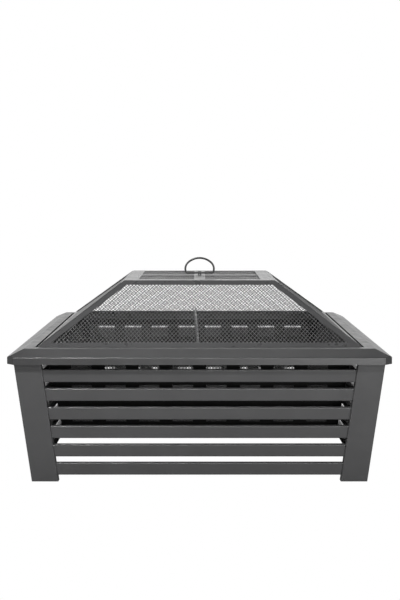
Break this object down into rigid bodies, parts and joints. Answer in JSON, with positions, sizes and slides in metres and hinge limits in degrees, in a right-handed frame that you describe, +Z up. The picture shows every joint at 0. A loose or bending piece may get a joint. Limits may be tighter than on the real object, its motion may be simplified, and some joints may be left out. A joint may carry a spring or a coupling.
{
  "type": "fire pit with grate",
  "caption": "Square steel fire pit with a table rim on a slatted base, a lift-out punched bowl, a log grate and a hipped mesh spark guard with a handle.",
  "frame": {"origin": "on the ground under the centre of the square base", "axes": "+Z up, -Y the front, +X to the right seen from the front"},
  "size_m": [0.86, 0.86, 0.4929],
  "materials": {
    "rim_coat": "satin powder coat",
    "frame_coat": "satin powder coat",
    "zinc_fixings": "zinc plated",
    "bowl_coat": "matt heat-resistant black",
    "bowl_mesh": "matt black wire",
    "grate_iron": "matt heat-resistant black",
    "rod_steel": "plain drawn rod",
    "lid_coat": "satin powder coat",
    "lid_mesh": "dark coated expanded steel",
    "handle_coat": "satin black"
  },
  "bodies": {
    "frame": {"rim": "rim_coat", "rim_ledge": "rim_coat", "leg_front_left": "frame_coat", "leg_front_right": "frame_coat", "leg_back_right": "frame_coat", "leg_back_left": "frame_coat", "slat_front_1": "frame_coat", "slat_front_2": "frame_coat", "slat_front_3": "frame_coat", "slat_front_4": "frame_coat", "slat_front_5": "frame_coat", "slat_front_6": "frame_coat", "slat_right_1": "frame_coat", "slat_right_2": "frame_coat", "slat_right_3": "frame_coat", "slat_right_4": "frame_coat", "slat_right_5": "frame_coat", "slat_right_6": "frame_coat", "slat_back_1": "frame_coat", "slat_back_2": "frame_coat", "slat_back_3": "frame_coat", "slat_back_4": "frame_coat", "slat_back_5": "frame_coat", "slat_back_6": "frame_coat", "slat_left_1": "frame_coat", "slat_left_2": "frame_coat", "slat_left_3": "frame_coat", "slat_left_4": "frame_coat", "slat_left_5": "frame_coat", "slat_left_6": "frame_coat", "corner_plates": "frame_coat", "corner_studs": "zinc_fixings", "corner_nuts": "zinc_fixings"},
    "bowl": {"bowl_wall_front": "bowl_coat", "bowl_wall_right": "bowl_coat", "bowl_wall_back": "bowl_coat", "bowl_wall_left": "bowl_coat", "bowl_liner_front": "bowl_mesh", "bowl_liner_right": "bowl_mesh", "bowl_liner_back": "bowl_mesh", "bowl_liner_left": "bowl_mesh", "bowl_floor": "bowl_coat", "bowl_flange": "bowl_coat"},
    "grate": {"grate_rails": "grate_iron", "grate_feet": "grate_iron", "grate_bars": "grate_iron", "grate_centre_plate": "grate_iron", "grate_lift_rod": "rod_steel"},
    "lid": {"lid_face_front": "lid_coat", "lid_face_right": "lid_coat", "lid_face_back": "lid_coat", "lid_face_left": "lid_coat", "lid_mesh_front": "lid_mesh", "lid_mesh_right": "lid_mesh", "lid_mesh_back": "lid_mesh", "lid_mesh_left": "lid_mesh", "lid_top_plate": "lid_coat", "lid_top_mesh": "lid_mesh", "handle_loop": "handle_coat", "handle_clip": "handle_coat"}
  },
  "joints": [
    {"name": "bowl_lift", "type": "slide", "parent": "frame", "child": "bowl", "axis": [0, 0, 1], "range_m": [0, 0.24]},
    {"name": "grate_lift", "type": "slide", "parent": "bowl", "child": "grate", "axis": [0, 0, 1], "range_m": [0, 0.07]},
    {"name": "lid_lift", "type": "slide", "parent": "bowl", "child": "lid", "axis": [0, 0, 1], "range_m": [0, 0.25]}
  ]
}
